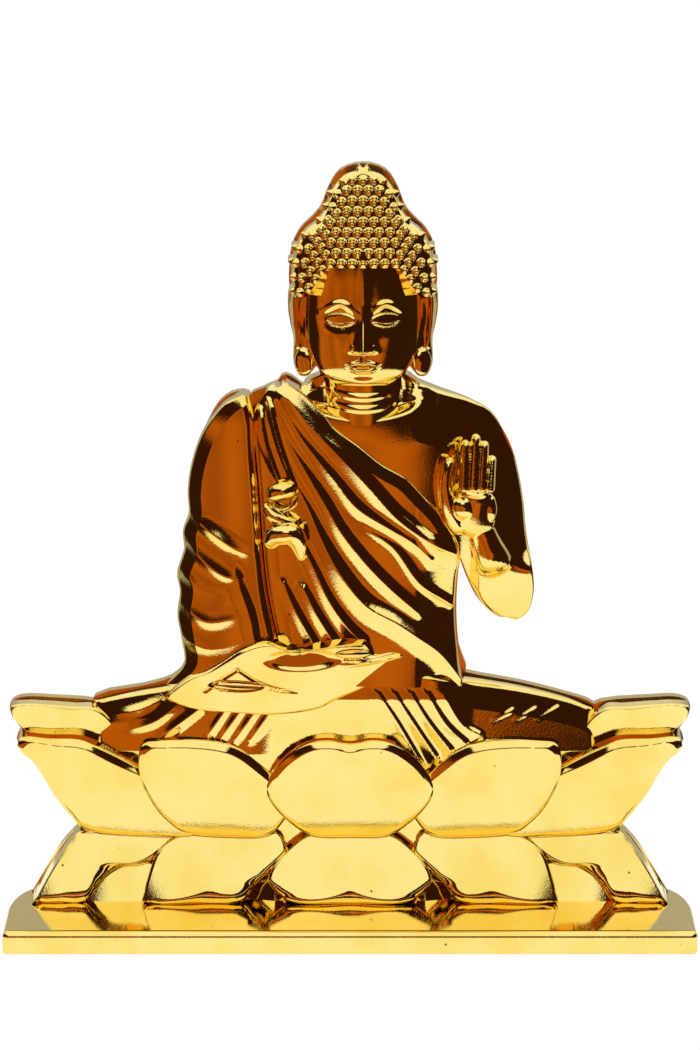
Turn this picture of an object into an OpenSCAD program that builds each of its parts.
/* [Base plate] */
// Width of the base plate, left to right
base_w = 80; // [79:0.5:84]
// Depth of the base plate, front to rear
base_d = 20; // [19.5:0.5:24]
// Thickness of the base plate
base_t = 2.7; // [2.5:0.1:3]
// Radius of the rounded lip along the front and top of the base plate
lip_r = 0.8; // [0.4:0.1:1.2]
// How far the rear corners of the base plate curve in from each end
corner_w = 4; // [2:0.5:6]

/* [Figure] */
// Distance from the rear edge of the base plate to the back of the figure
rear_gap = 1.2; // [0.8:0.1:1.6]
// Thickness of the flat back cover
cover_t = 1.6; // [1.5:0.1:1.9]
// How far the back cover shows past the castings in front of it
flange = 0.3; // [0.2:0.05:0.4]
// Greatest depth of the head, measured from the back of the figure
head_d = 9; // [8:0.5:10]
// Greatest depth of the hair, measured from the back of the figure
hair_d = 8.6; // [8:0.2:9.4]
// Greatest depth of the bare chest and arm
torso_d = 6.8; // [6.4:0.2:7.2]
// Greatest depth of the robe
robe_d = 7.4; // [7:0.2:8]
// Greatest depth of the crossed legs
legs_d = 8.2; // [7.8:0.2:8.8]
// Greatest depth of the raised forearm and hand
raised_d = 8.4; // [8:0.2:9]
// Greatest depth of the hands in the lap
lap_d = 9.2; // [8.8:0.2:9.8]

/* [Lotus] */
// Height of the upper petals' fullest swell above the base plate
rim_h = 18.3; // [17:0.1:19]
// Depth of the upper petals at their rims
upper_d = 7.8; // [7.4:0.2:8.4]
// Depth of the lower petals where they meet the base plate
lower_d = 7.4; // [6.8:0.1:7.6]
// Radius of the swell of each petal
petal_r = 24; // [22:1:30]

/* [Fixings] */
// Diameter of the locating pegs cast behind each piece
peg_dia = 1.5; // [1.2:0.1:1.6]
// Length of the locating pegs
peg_len = 0.8; // [0.6:0.1:1]
// Diameter of the screw threads
screw_dia = 1.6; // [1.4:0.1:1.6]
// Diameter of the screw heads
screw_head_dia = 2.8; // [2.6:0.1:3]
// Clearance round the screw heads and shanks
clearance = 0.2; // [0.1:0.05:0.3]

/* [Hidden] */
$fn = 96;

gold = "#FFE68A";
steel = "#C8C4B4";

back_y = base_d / 2 - rear_gap;       // back face of the figure
front_y = back_y - cover_t;           // front face of the back cover
head_x = 1.5;                         // the head stands a little right of centre
peg_fit = peg_len + 0.1;              // depth of the blind holes for the pegs
pocket_d = 5;                         // floor of the pockets under the layered pieces
head_recess = 1.3;                    // depth of the counterbores under the base plate
screw_head_t = 1.1;
screw_seat = 0.9;                     // depth of the cover screws' heads from the back face
skirt_w = 58;                         // part of the back cover behind the petals' waists
skirt_h = 12;
core_w = 60;                          // block behind the lower petals
core_t = 1.3;
core_h = 7.4;
boss_r = 1.5;                         // its two screw bosses
boss_y = 5.7;
boss_h = 5.3;
rear_petal_d = 4.2;                   // the rear petals lie far back
gap_inner_back = 1.4;                 // how far the small petals between stand behind the lower ones
gap_outer_back = 1.2;
screw_tip = 7;
tongue_w = 3;                         // tongues of the lotus core, let into the base plate
tongue_t = 1.2;
top_z = 100;                          // anything above the figure

base_screw_x = [-16.4, 16.4];
tongue_x = [-28, -5, 5, 28];
// x, z and reach of each screw through the back cover
cover_screw_at = [[head_x, 71, 6], [2, 46, 4.5], [-22, 24.5, 4.5], [22, 24.5, 4.5]];

// x and z of the locating pegs of each casting; those on the left are mirrored for the right
lower_far_pegs = [[-34, 5], [-28, 9]];
lower_side_pegs = [[-21, 8.6], [-12, 9.4]];
lower_centre_pegs = [[-5, 6], [6, 6]];
gap_outer_pegs = [[-26.6, 4.4]];
gap_inner_pegs = [[-9, 3.7]];
upper_far_pegs = [[-34, 19], [-28, 14]];
upper_side_pegs = [[-19, 18], [-14, 13]];
upper_centre_pegs = [[-4, 18], [4.6, 13]];
rear_petal_pegs = [[-36, 24.4], [-32.4, 24]];
legs_pegs = [[-14, 25], [14, 25]];
torso_pegs = [[9, 58], [16, 50]];
robe_pegs = [[-5, 56], [7, 34]];
sleeve_pegs = [[-14.4, 56], [-14, 36]];
head_pegs = [[-3, 74], [6, 68]];
hair_pegs = [[-2.4, 81], [5.4, 81]];
left_pegs = concat(
    lower_far_pegs, lower_side_pegs, gap_outer_pegs, gap_inner_pegs,
    upper_far_pegs, upper_side_pegs, rear_petal_pegs
);
single_pegs = concat(
    lower_centre_pegs, upper_centre_pegs, legs_pegs, torso_pegs, robe_pegs, sleeve_pegs, head_pegs,
    hair_pegs
);

// Points on a smooth closed curve through the corner points p
function bend(a, b, c, d, t) =
    ((2 * b) + (c - a) * t + (2 * a - 5 * b + 4 * c - d) * t * t + (3 * b - a - 3 * c + d) * t * t * t) / 2;
function loop(p, n = 3) =
    let (m = len(p))
    [for (i = [0:m - 1], k = [0:n - 1])
        bend(p[(i + m - 1) % m], p[i], p[(i + 1) % m], p[(i + 2) % m], k / n)];
// A half outline joined to its own mirror image about x = 0
function both(p) = concat(p, [for (i = [len(p) - 1:-1:0]) if (p[i].x != 0) [-p[i].x, p[i].y]]);

hair_half = [
    [0, 89], [2.4, 88.3], [3.7, 86.4], [4.5, 84.3], [5.6, 82.9], [7, 81.5], [7.9, 79.6], [8.2, 77.3],
    [8.1, 75], [6.7, 74.8], [4.8, 76.8], [2.4, 77.9], [0, 78.2]
];
head_half = [
    [0, 79], [4, 79], [7, 77.4], [8.2, 75], [8.3, 72], [7.5, 68], [7.5, 65.8], [6.4, 65], [5.4, 66],
    [4.6, 64.9], [3.9, 63], [3.9, 61.2], [2, 60.5], [0, 60.3]
];
robe_hem = [
    [-3.3, 61.2], [-1.7, 59.3], [1, 57.3], [3.7, 55.1], [6.5, 53.4], [8.6, 51.2], [10.6, 49],
    [11.9, 46.8],
    [12.7, 44.6]
];
drape_edge = [[-7.2, 30], [-8.2, 34], [-9.4, 39.6], [-10, 45], [-10.4, 51], [-10.8, 56], [-11.4, 61.6]];
shoulder = [
    [-5.2, 63.2], [-3.3, 64.6], [1.5, 65], [6, 64.8], [7.8, 63.7], [10.5, 62.6], [13.2, 61.6],
    [15.7, 60.2],
    [17.1, 58.4], [18.2, 56.2], [19, 53.4], [19.6, 50], [20, 46], [20.4, 41.6], [20.4, 39]
];
elbow = [[19.6, 37], [18.4, 36.2], [16.9, 36.5], [15.3, 38.1], [14.2, 40], [13.1, 42.8]];
raised_points = concat(
    [[10.5, 52.6], [10.6, 54.2], [11.8, 54.4], [12.9, 52.6], [13.5, 54], [13.4, 57], [14.1, 57.8],
     [15.1, 57.2], [16.4, 55.2], [17, 53], [17.3, 50], [17.4, 47.6], [18.2, 45], [19.8, 42]],
    [[20.3, 39]], elbow, [[13.2, 45], [12, 47.3], [11, 49.8]]
);
waist_side = [[12.3, 41.4], [12.1, 37], [12.4, 32.5], [13.1, 29.2]];
robe_points = concat(
    robe_hem, waist_side, [[8, 28.4], [0, 28.2]], drape_edge,
    [[-9.9, 62.8], [-8.2, 63.6], [-7.4, 64.4], [-5.6, 63.2]]
);
sleeve_points = concat(
    drape_edge,
    [[-12.9, 62.4], [-14.9, 61.2], [-16.7, 57.8], [-17.8, 54.2], [-18.1, 50], [-18.7, 46], [-19.2, 42],
     [-19.5, 38], [-19, 33.6], [-18.8, 30.4], [-16, 28.4], [-11, 28.2]]
);
legs_points = [
    [-29.6, 26.2], [-24.2, 27.4], [-20.8, 28.4], [-18, 30.2], [-10, 31], [0, 30.6], [10, 30.4],
    [13.6, 29], [19.8, 27.8], [25.2, 26.4], [28.4, 25.2], [29.4, 22.6], [26, 18.6], [10, 16], [-10, 16],
    [-26, 18.6],
    [-30, 22.6]
];
lap_points = [
    [-20.6, 27.2], [-16.6, 30.6], [-13.3, 32.9], [-10, 33.5], [-7.6, 32.8], [-4, 33.1], [1.6, 33.6],
    [4.6, 33], [6.4, 31.6], [4.4, 29.4], [0.4, 27.4], [-4, 25.8], [-9, 25.2], [-14, 25.8], [-18, 25.8]
];
robe_end_points = [
    [-9.6, 52.2], [-8, 52.4], [-6, 51.4], [-5.8, 50], [-7, 48.6], [-5.8, 47], [-6, 44.8], [-8.4, 43.4],
    [-9.5, 46]
];
rear_petal_points = [
    [-27, 21.2], [-27.4, 23.8], [-29.4, 25.5], [-35.2, 26], [-37.8, 26.1], [-39.2, 25.7], [-39.5, 24.9],
    [-38.9, 23.6], [-37.4, 22.2], [-33, 21.2]
];
upper_centre_half = [
    [0, 22.1], [2.6, 22.5], [5.2, 22], [7.8, 20.1], [9.2, 17.8], [9.4, 16], [8.4, 13.8], [6.4, 12],
    [4.2, 10.4],
    [0, 10.4]
];
upper_side_points = [
    [-9, 18], [-12.4, 21], [-15.2, 22.2], [-18.6, 22.5], [-22, 22.3], [-24.2, 21.8], [-24.7, 20],
    [-24.4, 17.2],
    [-23, 14], [-21.4, 11.8], [-19.2, 10.4], [-14, 10.3], [-9.6, 10.3], [-8, 12.8], [-7, 16]
];
upper_far_points = [
    [-24, 18.8], [-27.8, 20.6], [-30.6, 22], [-34.4, 22.4], [-37.6, 22.5], [-38.7, 21.6], [-38.4, 20.6],
    [-36.8, 18.8], [-35, 15.4], [-33.2, 12.9], [-30.6, 10.6], [-24, 10.3], [-19, 10.5], [-22, 14]
];
lower_centre_half = [
    [0, 10.6], [4.2, 10.6], [7.6, 8.4], [9.1, 6.6], [9.4, 5], [8.2, 3.6], [6, 2.4], [0, 2.4]
];
lower_side_points = [
    [-9.4, 10.4], [-14, 10.6], [-19.2, 10.5], [-21.6, 9.4], [-22.9, 8], [-23.8, 5.8], [-24.2, 4.2],
    [-24, 2.4],
    [-18, 2.2], [-13, 2.4], [-10.6, 5], [-8.6, 6.6], [-7.6, 8.4]
];
lower_far_points = [
    [-19, 10.6], [-25, 10.8], [-30.8, 10.8], [-32.8, 9.4], [-34.2, 7.6], [-35.4, 5.6], [-36.6, 3.6],
    [-37, 2.4],
    [-34, 2.2], [-31.2, 2.4], [-29.6, 4.4], [-27.9, 6], [-26, 6.8], [-23, 7.2], [-21, 9]
];
gap_outer_points = [
    [-31.6, 2.4], [-30, 4.8], [-27.8, 6.4], [-25, 7.2], [-22.6, 6.4], [-22.6, 2.4], [-27, 2.2]
];
gap_inner_points = [[-14, 2.4], [-12, 4.6], [-9.4, 5], [-6.6, 3.8], [-5, 2.4], [-9, 2.2]];

// A flat outline stood upright, reaching from depth d0 to depth d1 in front of the back face
module relief(d0, d1) {
    translate([0, back_y - d0, 0]) rotate([90, 0, 0]) linear_extrude(d1 - d0) children();
}

// A casting that starts on the back cover, swells to depth d at [x, z] and keeps its outline;
// r is the radius of the swell, round for a ball and upright for a barrel
module swell(x, z, d, r, barrel = false) {
    intersection() {
        relief(cover_t, d) children();
        translate([x, back_y - d + r, z])
            if (barrel) translate([0, 0, -z]) cylinder(r = r, h = top_z, $fn = 240);
            else sphere(r, $fn = 240);
    }
}

// Locating pegs behind a casting, at the given x and z; room is what stands between it and the back
// cover
module pegs(at, room = 0) {
    for (p = at) translate([p.x, front_y - room, p.y]) rotate([-90, 0, 0])
        cylinder(d = peg_dia, h = peg_len + room);
}

// Blind holes in the back cover for every peg
module peg_holes() {
    for (p = concat(left_pegs, [for (p = left_pegs) [-p.x, p.y]], single_pegs))
        translate([p.x, front_y - 1, p.y]) rotate([-90, 0, 0]) cylinder(d = peg_dia, h = peg_fit + 1);
}

// The holes of the cover screws from depth d0 to each screw's reach, or to depth d1 where it is given
module cover_screw_holes(d, d0, d1 = 0) {
    for (s = cover_screw_at) translate([s.x, back_y - d0, s.y]) rotate([90, 0, 0])
        cylinder(d = d, h = (d1 > 0 ? d1 : s.z) - d0);
}

module hair_2d() { translate([head_x, 0]) polygon(loop(both(hair_half))); }
module head_2d() {
    difference() {
        translate([head_x, 0]) polygon(loop(both(head_half)));
        hair_2d();
    }
}
module raised_2d() { polygon(loop(raised_points)); }
module lap_2d() { polygon(loop(lap_points)); }
module robe_end_2d() { polygon(loop(robe_end_points)); }
module gap_outer_2d() {
    difference() {
        polygon(loop(gap_outer_points));
        polygon(loop(lower_far_points));
        polygon(loop(lower_side_points));
    }
}
module gap_inner_2d() {
    difference() {
        polygon(loop(gap_inner_points));
        polygon(loop(lower_side_points));
        polygon(loop(both(lower_centre_half)));
    }
}
module upper_side_2d() {
    difference() {
        polygon(loop(upper_side_points));
        polygon(loop(both(upper_centre_half)));
    }
}
module upper_far_2d() {
    difference() {
        polygon(loop(upper_far_points));
        polygon(loop(upper_side_points));
    }
}
module uppers_2d() {
    polygon(loop(both(upper_centre_half)));
    for (m = [0, 1]) mirror([m, 0]) {
        polygon(loop(upper_side_points));
        polygon(loop(upper_far_points));
    }
}
module lower_side_2d() {
    difference() {
        polygon(loop(lower_side_points));
        polygon(loop(both(lower_centre_half)));
        uppers_2d();
    }
}
module lower_far_2d() {
    difference() {
        polygon(loop(lower_far_points));
        polygon(loop(lower_side_points));
        uppers_2d();
    }
}
module legs_2d() {
    difference() {
        polygon(loop(legs_points));
        uppers_2d();
    }
}
module rear_petal_2d() {
    difference() {
        polygon(loop(rear_petal_points));
        polygon(loop(legs_points));
        uppers_2d();
    }
}
module torso_2d() {
    difference() {
        polygon(loop(concat(shoulder, elbow, [for (i = [len(robe_hem) - 1:-1:0]) robe_hem[i]])));
        polygon(loop(robe_points));
        head_2d();
    }
}
module robe_2d() {
    difference() {
        polygon(loop(robe_points));
        polygon(loop(legs_points));
        head_2d();
    }
}
module sleeve_2d() {
    difference() {
        polygon(loop(sleeve_points));
        polygon(loop(robe_points));
        polygon(loop(legs_points));
    }
}
module above_base() {
    translate([-base_w, -base_d, base_t]) cube([2 * base_w, 2 * base_d, top_z]);
}

module base_plate() {
    // the front corners are square and the rear ones sweep in on a quarter ellipse
    plan = concat(
        [[-base_w / 2, -base_d / 2], [base_w / 2, -base_d / 2]],
        [for (a = [0:7.5:90]) [base_w / 2 - corner_w * (1 - cos(a)), base_d / 2 * sin(a)]],
        [for (a = [90:-7.5:0]) [-base_w / 2 + corner_w * (1 - cos(a)), base_d / 2 * sin(a)]]
    );
    color(gold) difference() {
        linear_extrude(base_t) polygon(plan);
        // rounded lip along the front
        translate([0, -base_d / 2 + lip_r, base_t - lip_r]) rotate([0, 90, 0])
            difference() {
                translate([-2 * lip_r, -2 * lip_r, -base_w]) cube([2 * lip_r, 2 * lip_r, 2 * base_w]);
                translate([0, 0, -2 * base_w]) cylinder(r = lip_r, h = 4 * base_w);
            }
        for (x = base_screw_x) translate([x, boss_y, -1]) {
            cylinder(d = screw_dia + clearance, h = base_t + 2);
            cylinder(d = screw_head_dia + 2 * clearance, h = head_recess + 1);
        }
        for (x = tongue_x) translate([x - tongue_w / 2, front_y - core_t, base_t - tongue_t - 0.1])
            cube([tongue_w, core_t, tongue_t + 1]);
    }
}

module base_screws() {
    color(steel) for (x = base_screw_x) translate([x, boss_y, 0]) {
        translate([0, 0, head_recess]) cylinder(d = screw_dia, h = screw_tip - head_recess);
        difference() {
            translate([0, 0, head_recess - screw_head_t])
                cylinder(d = screw_head_dia, h = screw_head_t);
            translate([-screw_head_dia, -0.2, -1]) cube([2 * screw_head_dia, 0.4, 1.7]);
        }
    }
}

module back_cover() {
    color(gold) difference() {
        intersection() {
            relief(0, cover_t) offset(flange) {
                hair_2d();
                head_2d();
                torso_2d();
                robe_2d();
                sleeve_2d();
                legs_2d();
                uppers_2d();
                for (m = [0, 1]) mirror([m, 0]) {
                    polygon(loop(rear_petal_points));
                    polygon(loop(lower_far_points));
                }
                translate([-skirt_w / 2, 0]) square([skirt_w, skirt_h]);
            }
            above_base();
        }
        cover_screw_holes(screw_dia + clearance, -1, cover_t + 1);
        cover_screw_holes(screw_head_dia + clearance, -1, screw_seat);
        peg_holes();
    }
}

module cover_screws() {
    color(steel) for (s = cover_screw_at) translate([s.x, back_y, s.y]) rotate([90, 0, 0]) {
        translate([0, 0, screw_seat]) cylinder(d = screw_dia, h = s.z - screw_seat);
        difference() {
            translate([0, 0, 0.1]) cylinder(d = screw_head_dia, h = screw_seat - 0.1);
            translate([-screw_head_dia, -0.2, -1]) cube([2 * screw_head_dia, 0.4, 1.4]);
        }
    }
}

module lotus_core() {
    color(gold) difference() {
        union() {
            translate([-core_w / 2, front_y - core_t, base_t]) cube([core_w, core_t, core_h]);
            for (x = tongue_x) translate([x - tongue_w / 2, front_y - core_t, base_t - tongue_t])
                cube([tongue_w, core_t, 2 * tongue_t]);
            for (x = base_screw_x) translate([x, boss_y, base_t]) cylinder(r = boss_r, h = boss_h);
        }
        for (x = base_screw_x) translate([x, boss_y, 0]) cylinder(d = screw_dia, h = screw_tip);
        for (m = [0, 1]) mirror([m, 0, 0])
            pegs(concat(lower_side_pegs, gap_outer_pegs, gap_inner_pegs), core_t);
        pegs(lower_centre_pegs, core_t);
    }
}

// The room that the lotus core takes behind the petals
module core_room() {
    translate([-core_w / 2, front_y - core_t, -1]) cube([core_w, core_t + 1, core_h + base_t + 1]);
    for (x = base_screw_x) translate([x, boss_y, -1]) cylinder(r = boss_r, h = boss_h + base_t + 1);
}

// A petal or gap filler of the lower tier at x, swelling most where it meets the base plate
module lower_casting(x, d) {
    intersection() {
        difference() {
            swell(x, base_t, d, petal_r) children();
            core_room();
        }
        above_base();
    }
}

// A petal of the upper tier at x, swelling most at its rim
module upper_casting(x) {
    difference() {
        swell(x, base_t + rim_h, upper_d, petal_r) children();
        core_room();
    }
}

module lower_petal_centre() {
    color(gold) {
        lower_casting(0, lower_d) difference() { polygon(loop(both(lower_centre_half))); uppers_2d(); }
        pegs(lower_centre_pegs, core_t);
    }
}
module lower_petal_left() {
    color(gold) {
        lower_casting(-16.4, lower_d) lower_side_2d();
        pegs(lower_side_pegs, core_t);
    }
}
module lower_petal_far_left() {
    color(gold) {
        lower_casting(-30, lower_d) lower_far_2d();
        pegs(lower_far_pegs, core_t);
    }
}
module lower_petal_right() { mirror([1, 0, 0]) lower_petal_left(); }
module lower_petal_far_right() { mirror([1, 0, 0]) lower_petal_far_left(); }

// Small petals of a hidden inner ring, seen between the lower ones, four separate castings
module between_petals() {
    color(gold) for (m = [0, 1]) mirror([m, 0, 0]) {
        lower_casting(-27, lower_d - gap_outer_back) gap_outer_2d();
        pegs(gap_outer_pegs, core_t);
        lower_casting(-9, lower_d - gap_inner_back) gap_inner_2d();
        pegs(gap_inner_pegs, core_t);
    }
}

module upper_petal_centre() {
    color(gold) {
        upper_casting(0) polygon(loop(both(upper_centre_half)));
        pegs(upper_centre_pegs);
    }
}
module upper_petal_left() {
    color(gold) {
        upper_casting(-16.6) upper_side_2d();
        pegs(upper_side_pegs);
    }
}
module upper_petal_far_left() {
    color(gold) {
        upper_casting(-31) upper_far_2d();
        pegs(upper_far_pegs);
    }
}
module upper_petal_right() { mirror([1, 0, 0]) upper_petal_left(); }
module upper_petal_far_right() { mirror([1, 0, 0]) upper_petal_far_left(); }

module rear_petal_left() {
    color(gold) {
        swell(-34, 25, rear_petal_d, petal_r) rear_petal_2d();
        pegs(rear_petal_pegs);
    }
}
module rear_petal_right() { mirror([1, 0, 0]) rear_petal_left(); }

// Both crossed legs, hidden below by the upper petals, with a pocket under the hands
module crossed_legs() {
    color(gold) {
        difference() {
            swell(0, 24, legs_d, 80) legs_2d();
            relief(pocket_d, legs_d + 1) lap_2d();
            cover_screw_holes(screw_dia, cover_t);
        }
        pegs(legs_pegs);
    }
}

// Bare neck, chest and right-hand arm, with a pocket under the raised forearm
module torso() {
    color(gold) {
        difference() {
            swell(0, 50, torso_d, 60, barrel = true) torso_2d();
            relief(pocket_d, torso_d + 1) raised_2d();
        }
        pegs(torso_pegs);
    }
}

// Robe across the chest, with falling folds
module robe() {
    color(gold) {
        difference() {
            swell(0, 50, robe_d, 45, barrel = true) robe_2d();
            relief(pocket_d, robe_d + 1) { lap_2d(); robe_end_2d(); raised_2d(); }
            cover_screw_holes(screw_dia, cover_t);
        }
        pegs(robe_pegs);
    }
}

// Robe over the left-hand shoulder and arm
module sleeve() {
    color(gold) {
        difference() {
            swell(-12, 50, robe_d, 16, barrel = true) sleeve_2d();
            relief(pocket_d, robe_d + 1) lap_2d();
        }
        pegs(sleeve_pegs);
    }
}

// Folded end of the robe on the chest
module robe_end() {
    color(gold) layered(-8, 48, robe_d + 0.8, 12) robe_end_2d();
}

// A layered piece stands in its pocket, from the pocket's floor to depth d, swelling about [x, z]
module layered(x, z, d, r) {
    intersection() {
        relief(pocket_d, d) children();
        translate([x, back_y - d + r, z]) sphere(r, $fn = 240);
    }
}

module raised_forearm() {
    color(gold) layered(15, 50, raised_d, 20) raised_2d();
}

module lap_hands() {
    color(gold) layered(-6, 29, lap_d, 34) lap_2d();
}

module head() {
    color(gold) {
        difference() {
            swell(head_x, 71, head_d, 13) head_2d();
            cover_screw_holes(screw_dia, cover_t);
        }
        pegs(head_pegs);
    }
}

// Cap of tight curls with the domed knot on top
module hair_cap() {
    color(gold) {
        swell(head_x, 77, hair_d, 14) hair_2d();
        pegs(hair_pegs);
    }
}

base_plate();
base_screws();
back_cover();
cover_screws();
lotus_core();
lower_petal_far_left();
lower_petal_left();
lower_petal_centre();
lower_petal_right();
lower_petal_far_right();
between_petals();
upper_petal_far_left();
upper_petal_left();
upper_petal_centre();
upper_petal_right();
upper_petal_far_right();
rear_petal_left();
rear_petal_right();
crossed_legs();
torso();
robe();
sleeve();
robe_end();
raised_forearm();
lap_hands();
head();
hair_cap();
